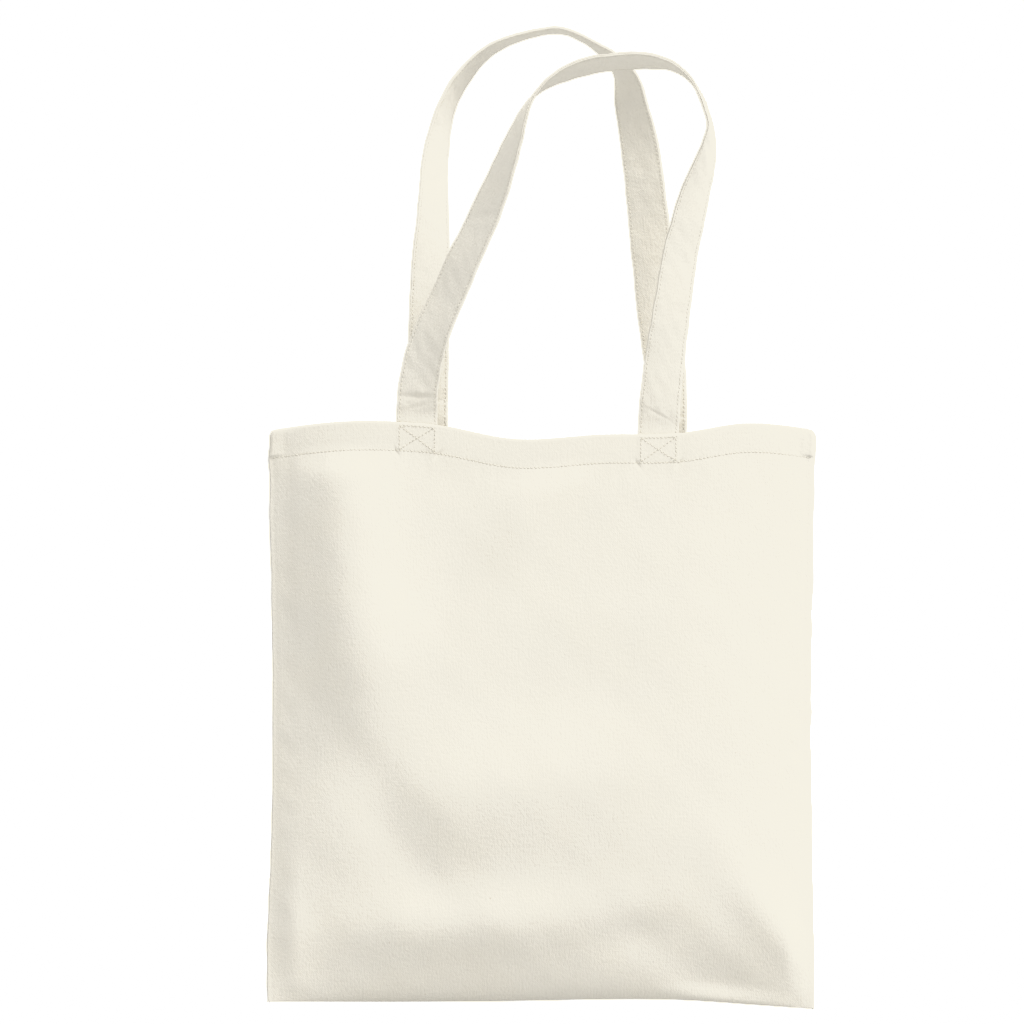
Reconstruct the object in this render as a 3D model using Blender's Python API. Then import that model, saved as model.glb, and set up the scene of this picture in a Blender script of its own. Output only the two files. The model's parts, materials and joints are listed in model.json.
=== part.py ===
"""Canvas tote bag: a body cloth folded at the bottom and sewn up both sides, two long handles sewn inside the
rim, and the runs of thread that hold them.

Metres, +Z up, the front of the bag faces -Y. The origin is the hanging point: on the centre line of the bag, in
the plane of its side seams, just under both handles. Soft parts are plain closed solids of the true outer shape.
"""

import math

import bmesh
import bpy
import numpy as np
from mathutils import Vector

# Body cloth
BAG_WIDTH = 0.380  # across the side seams
BAG_HEIGHT = 0.400  # bottom fold to rim
CLOTH = 0.0006  # one layer of canvas
SIDE_DRAW = 0.0024  # how far each side draws in where the bag is fullest
FULL_DEPTH = 0.022  # front cloth to the seam plane, where the bag is fullest
MOUTH_DEPTH = 0.018  # the same at the rim
BACK_DEPTH = 0.014  # the back lies flat at this depth
BACK_RIM_DEPTH = 0.0122  # the back at the rim, drawn in by its hem
BACK_FLAT_TOP = 0.84  # share of the height where the flat of the back ends
FULL_FROM, FULL_TO = 0.35, 0.55  # shares of the height between which the bag is fullest

# Rim and bottom fold: (share of the half width, height above the nominal line)
RIM_WAVE = (
    (-1.0, -0.0025),
    (-0.73, 0.0032),
    (-0.53, 0.0032),
    (-0.36, 0.0004),
    (-0.12, -0.0084),
    (0.21, -0.0058),
    (0.54, -0.0038),
    (0.72, 0.0017),
    (0.87, 0.0011),
    (1.0, -0.0022),
)
FOLD_WAVE = ((-1.0, 0.0), (0.0, 0.0008), (0.55, 0.0008), (0.75, -0.0018), (1.0, -0.0050))

# Hem and side seams
HEM = 0.0195  # rim to the hem's row of stitches
HEM_LAYERS = 2  # layers turned in behind the outer cloth
SEAM_ALLOWANCE = 0.008  # width of the sewn edge inside each side
SEAM_INSET = 0.003  # side edge to the start of that sewn edge
SEAM_FOOT = 0.026  # the sewn edge ends this far above the bottom fold

# Handles
STRAP_WIDTH = 0.028
STRAP_LAYERS = 4  # the strap is folded to four layers
STRAP_LAYER = 0.0005
HANDLE_SPACING = 0.167  # middle to middle of a handle's two legs
FRONT_SHIFT, REAR_SHIFT = -0.0028, 0.0036  # each pair's middle, from the centre line
FRONT_RISE, REAR_RISE = 0.2486, 0.2802  # rim to the top of each handle
FRONT_LEAN, REAR_LEAN = 0.034, 0.014  # how far each handle leans out at its top
STRAP_TUCK = 0.0025  # how far a sewn end reaches below the hem's stitches

# Hanging point above the bottom fold
HANG_HEIGHT = 0.620

# Thread
THREAD = 0.0005
EDGE_STITCH = 0.0018  # strap edge to its row of stitches
BOX_TOP = 0.0022  # rim to the top of the box stitch
BOX_FOOT = 0.0015  # hem stitches to the foot of the box stitch
SEAM_STITCH = 0.0012  # start of the sewn edge to its stitches

GAP = 0.0003  # clearance between pieces that touch
HALF_GAP = GAP / 2
FOLD_GAP = 0.0008  # sewn end to free loop of a strap, so that the loop can lean in over the fold line

# Route of each handle, left leg to right leg: (across, as a share of the spacing; up, as a share of the rise;
# roll, in degrees, which turns the inner edge out of the plane of the bag)
FRONT_ROUTE = (
    (-0.498, 0.075, 6),
    (-0.470, 0.194, 20),
    (-0.396, 0.327, 30),
    (-0.228, 0.573, 40),
    (-0.151, 0.695, 52),
    (-0.084, 0.817, 70),
    (-0.021, 0.901, 84.5),
    (0.091, 0.959, 100),
    (0.313, 0.997, 105),
    (0.423, 1.000, 103),
    (0.575, 0.977, 90),
    (0.626, 0.946, 85),
    (0.681, 0.879, 81),
    (0.703, 0.833, 81),
    (0.693, 0.753, 66),
    (0.637, 0.622, 43),
    (0.569, 0.410, 29),
    (0.535, 0.245, 18),
    (0.508, 0.075, 4),
)
REAR_ROUTE = (
    (-0.499, 0.075, 2),
    (-0.494, 0.248, 10),
    (-0.488, 0.396, 22),
    (-0.479, 0.524, 41),
    (-0.460, 0.711, 58),
    (-0.417, 0.808, 69),
    (-0.341, 0.890, 75),
    (-0.253, 0.943, 81),
    (-0.044, 0.994, 91),
    (0.043, 1.000, 92),
    (0.140, 0.984, 92),
    (0.239, 0.947, 85),
    (0.322, 0.894, 66),
    (0.343, 0.853, 50),
    (0.367, 0.786, 37),
    (0.391, 0.711, 25),
    (0.415, 0.598, 16),
    (0.441, 0.449, 5),
    (0.464, 0.298, 0),
    (0.503, 0.075, 0),
)

# Fineness of the solids
PANEL_COLUMNS = 16
PANEL_ROWS = 12
HEM_ROWS = 2
SEAM_ROWS = 8
STRAP_STATIONS = 60
END_COLUMNS, END_ROWS = 4, 3

BOTTOM_Z = -HANG_HEIGHT
RIM_Z = BOTTOM_Z + BAG_HEIGHT
STRAP_THICKNESS = STRAP_LAYERS * STRAP_LAYER
HEM_DEPTH = HEM_LAYERS * CLOTH
FRONT, REAR = -1, 1  # sign of y on each side of the bag


def spline(knots, values, at):
    """Natural cubic spline through values at knots, read at the places in at."""
    knots, values, at = np.array(knots, float), np.array(values, float), np.array(at, float)
    steps, rises = np.diff(knots), np.diff(values)
    count = len(knots)
    matrix, right = np.eye(count), np.zeros(count)
    for i in range(1, count - 1):
        matrix[i, i - 1 : i + 2] = steps[i - 1], 2 * (steps[i - 1] + steps[i]), steps[i]
        right[i] = 6 * (rises[i] / steps[i] - rises[i - 1] / steps[i - 1])
    bend = np.linalg.solve(matrix, right)
    i = np.clip(np.searchsorted(knots, at) - 1, 0, count - 2)
    a, b, h = knots[i + 1] - at, at - knots[i], steps[i]
    return (
        (bend[i] * a**3 + bend[i + 1] * b**3) / (6 * h)
        + (values[i] / h - bend[i] * h / 6) * a
        + (values[i + 1] / h - bend[i + 1] * h / 6) * b
    )


def wave(points, share):
    """Height of a waving edge at a share of the half width."""
    shares, heights = zip(*points)
    return float(spline(shares, heights, [min(max(share, -1.0), 1.0)])[0])


def ease(t):
    t = min(max(t, 0.0), 1.0)
    return t * t * (3 - 2 * t)


def half_width(up):
    """Side seam to centre line at a share of the height. The sides draw in where the bag is fullest."""
    return BAG_WIDTH / 2 - SIDE_DRAW * math.sin(math.pi * min(max(up, 0.0), 1.0)) ** 2


def share_across(x, up):
    return x / half_width(up)


def rim_height(x):
    return RIM_Z + wave(RIM_WAVE, x / (BAG_WIDTH / 2))


def fold_height(x):
    return BOTTOM_Z + wave(FOLD_WAVE, x / (BAG_WIDTH / 2))


def share_up(x, z):
    low, high = fold_height(x), rim_height(x)
    return (z - low) / (high - low)


def plumpness(share):
    """1 across the middle of the bag, falling to 0 at each side seam."""
    return max(0.0, 1 - min(1.0, abs(share)) ** 4) ** 0.8


def front_depth(up):
    """Depth of the front cloth on the centre line: 0 at the bottom fold, full in the middle, less at the mouth."""
    if up < FULL_FROM:
        return FULL_DEPTH * max(0.0, 1 - (1 - up / FULL_FROM) ** 2) ** 0.6
    return FULL_DEPTH + (MOUTH_DEPTH - FULL_DEPTH) * ease((up - FULL_TO) / (1 - FULL_TO))


def rear_depth(up):
    """Depth of the flat of the back, a little less along the hem."""
    return BACK_DEPTH + (BACK_RIM_DEPTH - BACK_DEPTH) * ease((up - BACK_FLAT_TOP) / 0.06)


def depth(side, x, z):
    """Seam plane to the inner face of the cloth, without the half gap between the two halves."""
    up = min(max(share_up(x, z), 0.0), 1.0)
    full = front_depth(up) * plumpness(share_across(x, up))
    return full if side == FRONT else min(full, rear_depth(up))


def on_cloth(side, x, z, inward=0.0):
    """Point on the inner face of the front or rear cloth, moved towards the inside of the bag."""
    return Vector((x, side * (HALF_GAP + depth(side, x, z) - inward), z))


def material(name, colour, roughness):
    made = bpy.data.materials.get(name)
    if made is None:
        made = bpy.data.materials.new(name)
        made.use_nodes = True
        shader = made.node_tree.nodes["Principled BSDF"]
        shader.inputs["Base Color"].default_value = (*colour, 1.0)
        shader.inputs["Roughness"].default_value = roughness
        shader.inputs["Metallic"].default_value = 0.0
    return made


def canvas():
    return material("canvas", (0.90, 0.87, 0.77), 0.9)


def strap_canvas():
    return material("strap_canvas", (0.90, 0.87, 0.77), 0.88)


def thread():
    return material("thread", (0.93, 0.91, 0.83), 0.7)


def link(name, mesh, finish, parent):
    """One object from a bmesh of points in the part's frame, carried by a parent empty if one is given."""
    if parent is not None:
        bmesh.ops.translate(mesh, verts=mesh.verts, vec=-parent.location)
    data = bpy.data.meshes.new(name)
    mesh.to_mesh(data)
    mesh.free()
    data.materials.append(finish)
    obj = bpy.data.objects.new(name, data)
    bpy.context.scene.collection.objects.link(obj)
    obj.parent = parent
    return obj


def sheet_object(name, rows, thickness, offset, finish, parent=None):
    """One object from rows of points, given a thickness. offset 1 grows along the normal, -1 against it."""
    mesh = bmesh.new()
    made = [[mesh.verts.new(point) for point in row] for row in rows]
    for low, high in zip(made, made[1:]):
        for i in range(len(low) - 1):
            mesh.faces.new((low[i], low[i + 1], high[i + 1], high[i]))
    obj = link(name, mesh, finish, parent)
    solid = obj.modifiers.new("thickness", "SOLIDIFY")
    solid.thickness = thickness
    solid.offset = offset
    solid.use_even_offset = True


def facing(side, rows):
    """Rows with their order across set so that the normal points out of the bag."""
    return rows if side == FRONT else [row[::-1] for row in rows]


def column_shares():
    """Shares of the half width, closer together towards the side seams."""
    return [math.sin(math.pi / 2 * (2 * i / PANEL_COLUMNS - 1)) for i in range(PANEL_COLUMNS + 1)]


def panel(name, side):
    """Front or rear half of the body cloth, which grows outwards from its inner face."""
    top_rows = [BACK_FLAT_TOP, BACK_FLAT_TOP + 0.06]
    shares = sorted([(i / PANEL_ROWS) ** 1.3 for i in range(PANEL_ROWS + 1)] + top_rows)
    rows = []
    for up in shares:
        row = []
        for share in column_shares():
            x = share * half_width(up)
            z = fold_height(x) + up * (rim_height(x) - fold_height(x))
            row.append(on_cloth(side, x, z))
        rows.append(row)
    return sheet_object(name, facing(side, rows), CLOTH, 1, canvas())


def hem(name, side):
    """Turned-in layers along the rim, behind the outer cloth, from one seam allowance to the other."""
    reach = BAG_WIDTH / 2 - SEAM_INSET - SEAM_ALLOWANCE - 6 * GAP
    inside = [share * BAG_WIDTH / 2 for share in column_shares() if abs(share) * BAG_WIDTH / 2 < reach]
    columns = [-reach, *inside, reach]
    rows = []
    for i in range(HEM_ROWS + 1):
        below = HEM * (1 - i / HEM_ROWS)
        rows.append([on_cloth(side, x, rim_height(x) - below, GAP) for x in columns])
    return sheet_object(name, facing(side, rows), HEM_DEPTH, -1, canvas())


def strap_place(side, leg):
    """x of the middle of a leg. leg is -1 on the left and 1 on the right."""
    return (FRONT_SHIFT if side == FRONT else REAR_SHIFT) + leg * HANDLE_SPACING / 2


def strap_exit(side, leg):
    """Height at which a strap leaves the hem: where the rim is highest across the strap's width."""
    middle = strap_place(side, leg)
    return max(rim_height(middle + share * STRAP_WIDTH / 2) for share in (-1, -0.5, 0, 0.5, 1)) + GAP


def strap_end(name, side, leg):
    """Sewn end of a strap, flat against the inside of the hem."""
    middle = strap_place(side, leg)
    top = strap_exit(side, leg)
    foot = rim_height(middle) - HEM - STRAP_TUCK
    inward = GAP + HEM_DEPTH + GAP
    columns = [middle + STRAP_WIDTH * (i / END_COLUMNS - 0.5) for i in range(END_COLUMNS + 1)]
    heights = [foot + (top - foot) * i / END_ROWS for i in range(END_ROWS + 1)]
    rows = [[on_cloth(side, x, z, inward) for x in columns] for z in heights]
    return sheet_object(name, facing(side, rows), STRAP_THICKNESS, -1, strap_canvas())


def hem_stitching(name, side):
    """Row of stitches along the foot of the hem, on the outside of the cloth."""
    reach = BAG_WIDTH / 2 - SEAM_INSET
    columns = [share * reach for share in column_shares()]
    rows = []
    for rise in (-THREAD / 2, THREAD / 2):
        rows.append([on_cloth(side, x, rim_height(x) - HEM + rise, -(CLOTH + GAP)) for x in columns])
    return sheet_object(name, facing(side, rows), THREAD, 1, thread())


def box_stitch(name, side, leg):
    """Square of stitches with a cross in it, which sews a strap end through the hem."""
    middle = strap_place(side, leg)
    half = STRAP_WIDTH / 2 - EDGE_STITCH
    out = -(CLOTH + GAP + THREAD / 2)
    low, high = -HEM + BOX_FOOT, -BOX_TOP
    places = [(-half, low), (half, low), (half, high), (-half, high), (0.0, (low + high) / 2)]
    mesh = bmesh.new()
    corners = []
    for across, below in places:
        x = middle + across
        corners.append(mesh.verts.new(on_cloth(side, x, rim_height(x) + below, out)))
    centre = corners.pop()
    for i, corner in enumerate(corners):
        mesh.faces.new((corner, corners[(i + 1) % 4], centre))
    obj = link(name, mesh, thread(), None)
    bars = obj.modifiers.new("bars", "WIREFRAME")
    bars.thickness = THREAD
    bars.use_boundary = True
    bars.use_even_offset = False


def seam_strip(name, side, inset, width, thickness, lift, finish):
    """Upright strip inside a side seam, inset from the side edge. lift moves it off the seam plane, towards +Y."""
    rows = []
    for i in range(SEAM_ROWS + 1):
        up = i / SEAM_ROWS
        row = []
        for reach in (inset + width, inset):
            x = side * (BAG_WIDTH / 2 - reach)
            low, high = fold_height(x) + SEAM_FOOT, rim_height(x) - GAP
            z = low + up * (high - low)
            x = side * (half_width(share_up(x, z)) - reach)
            row.append(Vector((x, lift - thickness / 2, z)))
        rows.append(row if side > 0 else row[::-1])
    return sheet_object(name, rows, thickness, -1, finish)


def side_seam(label, side):
    """The two sewn edges inside a side seam, their row of stitches, and the overlocked edge."""
    layers = 2 * CLOTH
    lift = layers / 2 + GAP + THREAD / 2
    seam_strip(f"{label}_seam_allowance", side, SEAM_INSET, SEAM_ALLOWANCE, layers, 0.0, canvas())
    seam_strip(f"{label}_seam_stitching", side, SEAM_INSET + SEAM_STITCH, THREAD, THREAD, lift, thread())
    past = SEAM_INSET + SEAM_ALLOWANCE + GAP
    seam_strip(f"{label}_overlock_edge", side, past, THREAD, layers, 0.0, thread())


def handle_route(side):
    """Stations along a handle, evenly spaced: (place, across the strap, out of its visible face)."""
    rise, lean, route = (
        (FRONT_RISE, FRONT_LEAN, FRONT_ROUTE) if side == FRONT else (REAR_RISE, REAR_LEAN, REAR_ROUTE)
    )
    shift = FRONT_SHIFT if side == FRONT else REAR_SHIFT
    inward = GAP + HEM_DEPTH + GAP + STRAP_THICKNESS / 2

    def rim_end(leg):
        x = strap_place(side, leg)
        return (*on_cloth(side, x, rim_height(x), inward)[:2], strap_exit(side, leg) + FOLD_GAP, 0.0)

    y = rim_end(-1)[1]
    points = [rim_end(-1)]
    for across, up, roll in route:
        points.append((shift + across * HANDLE_SPACING, y + side * lean * up, RIM_Z + up * rise, roll))
    points.append(rim_end(1))
    points = np.array(points)
    along = np.concatenate([[0], np.cumsum(np.linalg.norm(np.diff(points[:, :3], axis=0), axis=1))])
    fine = np.linspace(0, along[-1], 40 * STRAP_STATIONS)
    curve = np.stack([spline(along, points[:, k], fine) for k in range(4)], axis=1)
    length = np.concatenate([[0], np.cumsum(np.linalg.norm(np.diff(curve[:, :3], axis=0), axis=1))])
    even = np.linspace(0, length[-1], STRAP_STATIONS + 1)
    places = np.stack([np.interp(even, length, curve[:, k]) for k in range(4)], axis=1)
    stations = []
    for i, place in enumerate(places):
        ahead, behind = places[min(i + 1, STRAP_STATIONS)], places[max(i - 1, 0)]
        tangent = Vector(ahead[:3] - behind[:3]).normalized()
        if i in (0, STRAP_STATIONS):
            tangent = Vector((0, 0, 1 if i == 0 else -1))
        inner = Vector((0, 1, 0)).cross(tangent).normalized()
        forward = inner.cross(tangent)
        roll = math.radians(place[3]) * -side
        across = inner * math.cos(roll) + forward * math.sin(roll)
        face = forward * math.cos(roll) - inner * math.sin(roll)
        stations.append((Vector(place[:3]), across, face))
    return stations


def hinge_end(side, leg):
    """Where a handle's fold line meets one leg: on the outer face of the cloth, at the rim."""
    x = strap_place(side, leg)
    return Vector((*on_cloth(side, x, rim_height(x), -CLOTH)[:2], strap_exit(side, leg)))


def hinge(label, side):
    """Empty on a handle's fold line, halfway between its two legs."""
    empty = bpy.data.objects.new(f"{label}_handle_fold", None)
    empty.location = (hinge_end(side, -1) + hinge_end(side, 1)) / 2
    bpy.context.scene.collection.objects.link(empty)
    return empty


def handle(label, side):
    """The free loop of a strap, from rim to rim, and the row of stitches near each of its edges."""
    stations = handle_route(side)
    fold = hinge(label, side)
    edge = STRAP_WIDTH / 2
    stitch = edge - EDGE_STITCH
    columns = (-edge, -stitch, 0.0, stitch, edge)
    rows = [[place + across * c for c in columns] for place, across, _ in stations]
    sheet_object(f"{label}_handle_strap", rows, STRAP_THICKNESS, 0, strap_canvas(), fold)
    lift = STRAP_THICKNESS / 2 + GAP
    for which, centre in (("outer", -stitch), ("inner", stitch)):
        columns = (centre - THREAD / 2, centre + THREAD / 2)
        rows = [[place + across * c + face * lift for c in columns] for place, across, face in stations]
        sheet_object(f"{label}_handle_{which}_stitching", rows, THREAD, 1, thread(), fold)


def main():
    for obj in list(bpy.data.objects):
        bpy.data.objects.remove(obj)
    for label, side in (("front", FRONT), ("rear", REAR)):
        panel(f"{label}_panel", side)
        hem(f"{label}_hem", side)
        hem_stitching(f"{label}_hem_stitching", side)
        for end, leg in (("left", -1), ("right", 1)):
            strap_end(f"{label}_{end}_strap_end", side, leg)
            box_stitch(f"{label}_{end}_box_stitch", side, leg)
        handle(label, side)
    for label, side in (("left", -1), ("right", 1)):
        side_seam(label, side)


main()
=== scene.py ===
"""Looks of a canvas tote bag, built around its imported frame.

The body is one cloth, folded at the bottom, with a turned hem; each strap is one cloth folded to four layers;
every stitch is its own little piece of thread. Metres, +Z up, the front of the bag faces -Y.
"""

import json
import math

import bmesh
import bpy
import numpy as np
from bpy.props import FloatProperty, FloatVectorProperty, PointerProperty
from bpy.types import Operator, Panel, PropertyGroup
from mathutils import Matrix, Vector


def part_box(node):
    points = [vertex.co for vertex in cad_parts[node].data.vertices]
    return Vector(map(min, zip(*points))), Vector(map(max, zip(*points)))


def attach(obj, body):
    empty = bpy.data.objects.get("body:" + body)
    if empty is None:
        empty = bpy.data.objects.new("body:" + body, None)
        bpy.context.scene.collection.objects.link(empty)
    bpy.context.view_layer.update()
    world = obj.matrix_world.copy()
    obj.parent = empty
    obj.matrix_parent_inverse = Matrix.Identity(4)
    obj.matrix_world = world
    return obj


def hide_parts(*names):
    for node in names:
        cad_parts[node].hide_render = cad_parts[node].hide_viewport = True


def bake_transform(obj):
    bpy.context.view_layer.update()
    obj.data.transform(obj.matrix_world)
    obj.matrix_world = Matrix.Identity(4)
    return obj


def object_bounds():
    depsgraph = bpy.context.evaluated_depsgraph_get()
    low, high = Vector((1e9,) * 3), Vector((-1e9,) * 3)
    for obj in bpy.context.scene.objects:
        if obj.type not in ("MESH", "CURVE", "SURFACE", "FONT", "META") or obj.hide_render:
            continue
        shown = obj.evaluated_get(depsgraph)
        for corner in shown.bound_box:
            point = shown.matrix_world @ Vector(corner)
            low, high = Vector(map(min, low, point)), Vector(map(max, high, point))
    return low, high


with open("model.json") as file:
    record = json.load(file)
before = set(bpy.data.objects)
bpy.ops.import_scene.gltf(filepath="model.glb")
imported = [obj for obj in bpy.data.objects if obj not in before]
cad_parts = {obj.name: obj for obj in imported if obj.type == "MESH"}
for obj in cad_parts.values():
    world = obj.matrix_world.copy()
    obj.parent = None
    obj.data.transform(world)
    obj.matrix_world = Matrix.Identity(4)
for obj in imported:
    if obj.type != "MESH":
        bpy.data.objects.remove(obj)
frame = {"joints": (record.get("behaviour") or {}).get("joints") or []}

bl_info = {
    "name": "Canvas tote bag",
    "version": (1, 0, 0),
    "blender": (4, 5, 0),
    "location": "3D View > Sidebar > Tote bag",
    "description": "Makes a canvas tote bag with folded straps and sewn stitches around its packed frame",
    "category": "Add Mesh",
}

CAD_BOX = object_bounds()
FRONT, REAR = -1, 1  # sign of y on each side of the bag
LEFT, RIGHT = -1, 1
MM = 0.001

# Rim and bottom fold: (share of the half width, height above the nominal line)
RIM_WAVE = (
    (-1.0, -0.0025),
    (-0.73, 0.0032),
    (-0.53, 0.0032),
    (-0.36, 0.0004),
    (-0.12, -0.0084),
    (0.21, -0.0058),
    (0.54, -0.0038),
    (0.72, 0.0017),
    (0.87, 0.0011),
    (1.0, -0.0022),
)
FOLD_WAVE = ((-1.0, 0.0), (0.0, 0.0008), (0.55, 0.0008), (0.75, -0.0018), (1.0, -0.0050))

# Route of each handle: (across, as a share of the spacing; up, as a share of the rise; roll, in degrees)
FRONT_ROUTE = (
    (-0.498, 0.075, 6),
    (-0.470, 0.194, 20),
    (-0.396, 0.327, 30),
    (-0.228, 0.573, 40),
    (-0.151, 0.695, 52),
    (-0.084, 0.817, 70),
    (-0.021, 0.901, 84.5),
    (0.091, 0.959, 100),
    (0.313, 0.997, 105),
    (0.423, 1.000, 103),
    (0.575, 0.977, 90),
    (0.626, 0.946, 85),
    (0.681, 0.879, 81),
    (0.703, 0.833, 81),
    (0.693, 0.753, 66),
    (0.637, 0.622, 43),
    (0.569, 0.410, 29),
    (0.535, 0.245, 18),
    (0.508, 0.075, 4),
)
REAR_ROUTE = (
    (-0.499, 0.075, 2),
    (-0.494, 0.248, 10),
    (-0.488, 0.396, 22),
    (-0.479, 0.524, 41),
    (-0.460, 0.711, 58),
    (-0.417, 0.808, 69),
    (-0.341, 0.890, 75),
    (-0.253, 0.943, 81),
    (-0.044, 0.994, 91),
    (0.043, 1.000, 92),
    (0.140, 0.984, 92),
    (0.239, 0.947, 85),
    (0.322, 0.894, 66),
    (0.343, 0.853, 50),
    (0.367, 0.786, 37),
    (0.391, 0.711, 25),
    (0.415, 0.598, 16),
    (0.441, 0.449, 5),
    (0.464, 0.298, 0),
    (0.503, 0.075, 0),
)

# Soft folds of each side, in millimetres: (x from the centre line, height above the bottom fold, direction in
# degrees from +X, half length, half width, height out of the cloth). A negative height is a hollow.
FRONT_FOLDS = (
    (-134, 316, 92, 104, 32, 11.5),
    (-116, 240, 58, 52, 32, 5.0),
    (12, 380, 50, 30, 22, 4.4),
    (-14, 336, 50, 34, 22, 4.2),
    (-104, 128, 121, 88, 24, -3.6),
    (-178, 52, 92, 56, 15, 3.4),
    (-24, 152, 6, 92, 40, 7.6),
    (-50, 56, 2, 96, 22, 5.2),
    (66, 46, 10, 30, 16, -2.4),
    (168, 52, 131, 52, 18, 5.6),
    (122, 12, 146, 46, 22, -4.4),
    (98, 250, 84, 120, 46, 1.4),
    (38, 270, 70, 70, 34, 1.2),
)
REAR_FOLDS = (
    (-70, 318, 72, 90, 28, -4.6),
    (74, 296, 104, 96, 30, -4.0),
    (4, 196, 14, 120, 38, 4.4),
    (132, 70, 128, 66, 22, 5.0),
    (-124, 92, 62, 84, 26, -4.6),
    (-20, 70, 4, 90, 24, 2.6),
)

# Creases across each strap, in millimetres: (place after its left exit from the hem, or before its right exit
# if negative; direction in degrees from straight across; half length; half width; height)
FRONT_CREASES = (
    (17, 3, 12, 1.7, -0.9),
    (21, -5, 12, 4, 0.6),
    (10, 18, 7, 1.2, -0.5),
    (-12, -26, 10, 0.8, -0.6),
    (-16, -26, 10, 4, 0.3),
    (150, 25, 12, 3, -0.5),
    (212, -20, 12, 3, -0.6),
    (330, 15, 12, 4, -0.5),
    (405, -25, 12, 3, -0.6),
)
REAR_CREASES = (
    (14, 8, 12, 2.0, -0.6),
    (-13, -12, 11, 1.8, -0.8),
    (170, 20, 12, 3, -0.5),
    (235, -18, 12, 3.5, -0.5),
    (300, 22, 12, 3, -0.5),
    (392, -15, 12, 3, -0.6),
)

ARCH = np.array((-0.20, 0.06, 0.11, 0.06, -0.20)) * MM  # a stitch dives into the cloth at both ends
LABELS = ((FRONT, "front"), (REAR, "rear"))
ENDS = ((LEFT, "left"), (RIGHT, "right"))
STRAP_END = 2.3 * MM  # thickness of a sewn strap end, with its slack
CREASED = (5 * MM, 27 * MM, 40)  # stretch of a strap next to its exit with closer stations, and their number
UNSEWN = 50.0  # given, in millimetres, as the distance to the nearest stitches of a place that is near none
STITCH_RADIUS = 0.42  # as a share of the thread's thickness

BACKGROUND = 1.65  # brightness of the white behind the bag
BRIGHTEST_CLOTH = (0.938, 0.906, 0.796)  # what the brightest cloth is shown as: red, green, blue
KEY_FROM = Vector((0.52, -0.36, 0.77))
BACK_FROM = Vector((-0.50, 0.60, 0.62))
FLOOR_GAP = 1.2 * MM  # from the lowest corner of the bag
FLOOR_RADIUS = 9.0
FLOOR_GREYS = ((0.50, 0.50, 0.50, 1.0), (0.48, 0.48, 0.48, 1.0))
FLOOR_GLOW = 1.3  # seen by the camera only, so it lights nothing
CAMERA_PLACE = (-0.0206, -2.2, -0.279)
CAMERA_LENS = 110.9  # in millimetres


def spline(knots, values, at):
    """Natural cubic spline through rows of values at knots, read at the places in at."""
    knots, values, at = (np.asarray(given, float) for given in (knots, values, at))
    count = len(knots)
    column = (-1,) + (1,) * (values.ndim - 1)
    steps = np.diff(knots)
    rises = np.diff(values, axis=0) / steps.reshape(column)
    matrix, right = np.eye(count), np.zeros_like(values)
    for i in range(1, count - 1):
        matrix[i, i - 1 : i + 2] = steps[i - 1], 2 * (steps[i - 1] + steps[i]), steps[i]
        right[i] = 6 * (rises[i] - rises[i - 1])
    bend = np.linalg.solve(matrix, right.reshape(count, -1)).reshape(values.shape)
    i = np.clip(np.searchsorted(knots, at) - 1, 0, count - 2)
    a, b, h = (part.reshape(column) for part in (knots[i + 1] - at, at - knots[i], steps[i]))
    return (
        (bend[i] * a**3 + bend[i + 1] * b**3) / (6 * h)
        + (values[i] / h - bend[i] * h / 6) * a
        + (values[i + 1] / h - bend[i + 1] * h / 6) * b
    )


def wave(points, share):
    """Height of a waving edge at shares of the half width."""
    shares, heights = zip(*points)
    share = np.clip(np.asarray(share, float), -1, 1)
    return spline(shares, heights, share.ravel()).reshape(share.shape)


def ease(t):
    """0 up to 0 and 1 from 1, smooth in between."""
    t = np.clip(t, 0, 1)
    return t * t * (3 - 2 * t)


def bump(distance, width):
    """A smooth bump, 1 at no distance."""
    return np.exp(-((distance / width) ** 2))


def turned(x, y, degrees):
    """How far places lie along and across a direction, given in degrees from the first axis."""
    turn = math.radians(degrees)
    return x * math.cos(turn) + y * math.sin(turn), y * math.cos(turn) - x * math.sin(turn)


def ridge(x, y, degrees, long, wide, height):
    """A long soft ridge in that direction, sized in millimetres. A hollow has a negative height."""
    along, across = turned(x, y, degrees)
    return height * MM * bump(along, long * MM) * bump(across, wide * MM)


def ripples(seed, length, *places):
    """Smooth noise of about that wavelength at places, between about -1 and 1, from crossing waves."""
    draw = np.random.default_rng(seed)
    total = 0.0
    for _ in range(7):
        way = draw.normal(size=len(places))
        way *= draw.uniform(0.6, 1.5) / np.linalg.norm(way)
        phase = draw.uniform(0, 2 * math.pi)
        total = total + np.sin(2 * math.pi / length * sum(w * p for w, p in zip(way, places)) + phase)
    return total / 3.2


def unit(vectors):
    """The same directions, at length 1."""
    return vectors / np.maximum(np.linalg.norm(vectors, axis=-1, keepdims=True), 1e-12)


def run_along(points):
    """Length of a line of points up to each of them."""
    return np.concatenate([[0], np.cumsum(np.linalg.norm(np.diff(points, axis=0), axis=1))])


def paired(first, second):
    """Two arrays, spread to one shape, as an array of pairs."""
    return np.stack(np.broadcast_arrays(first, second), axis=-1)


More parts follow.
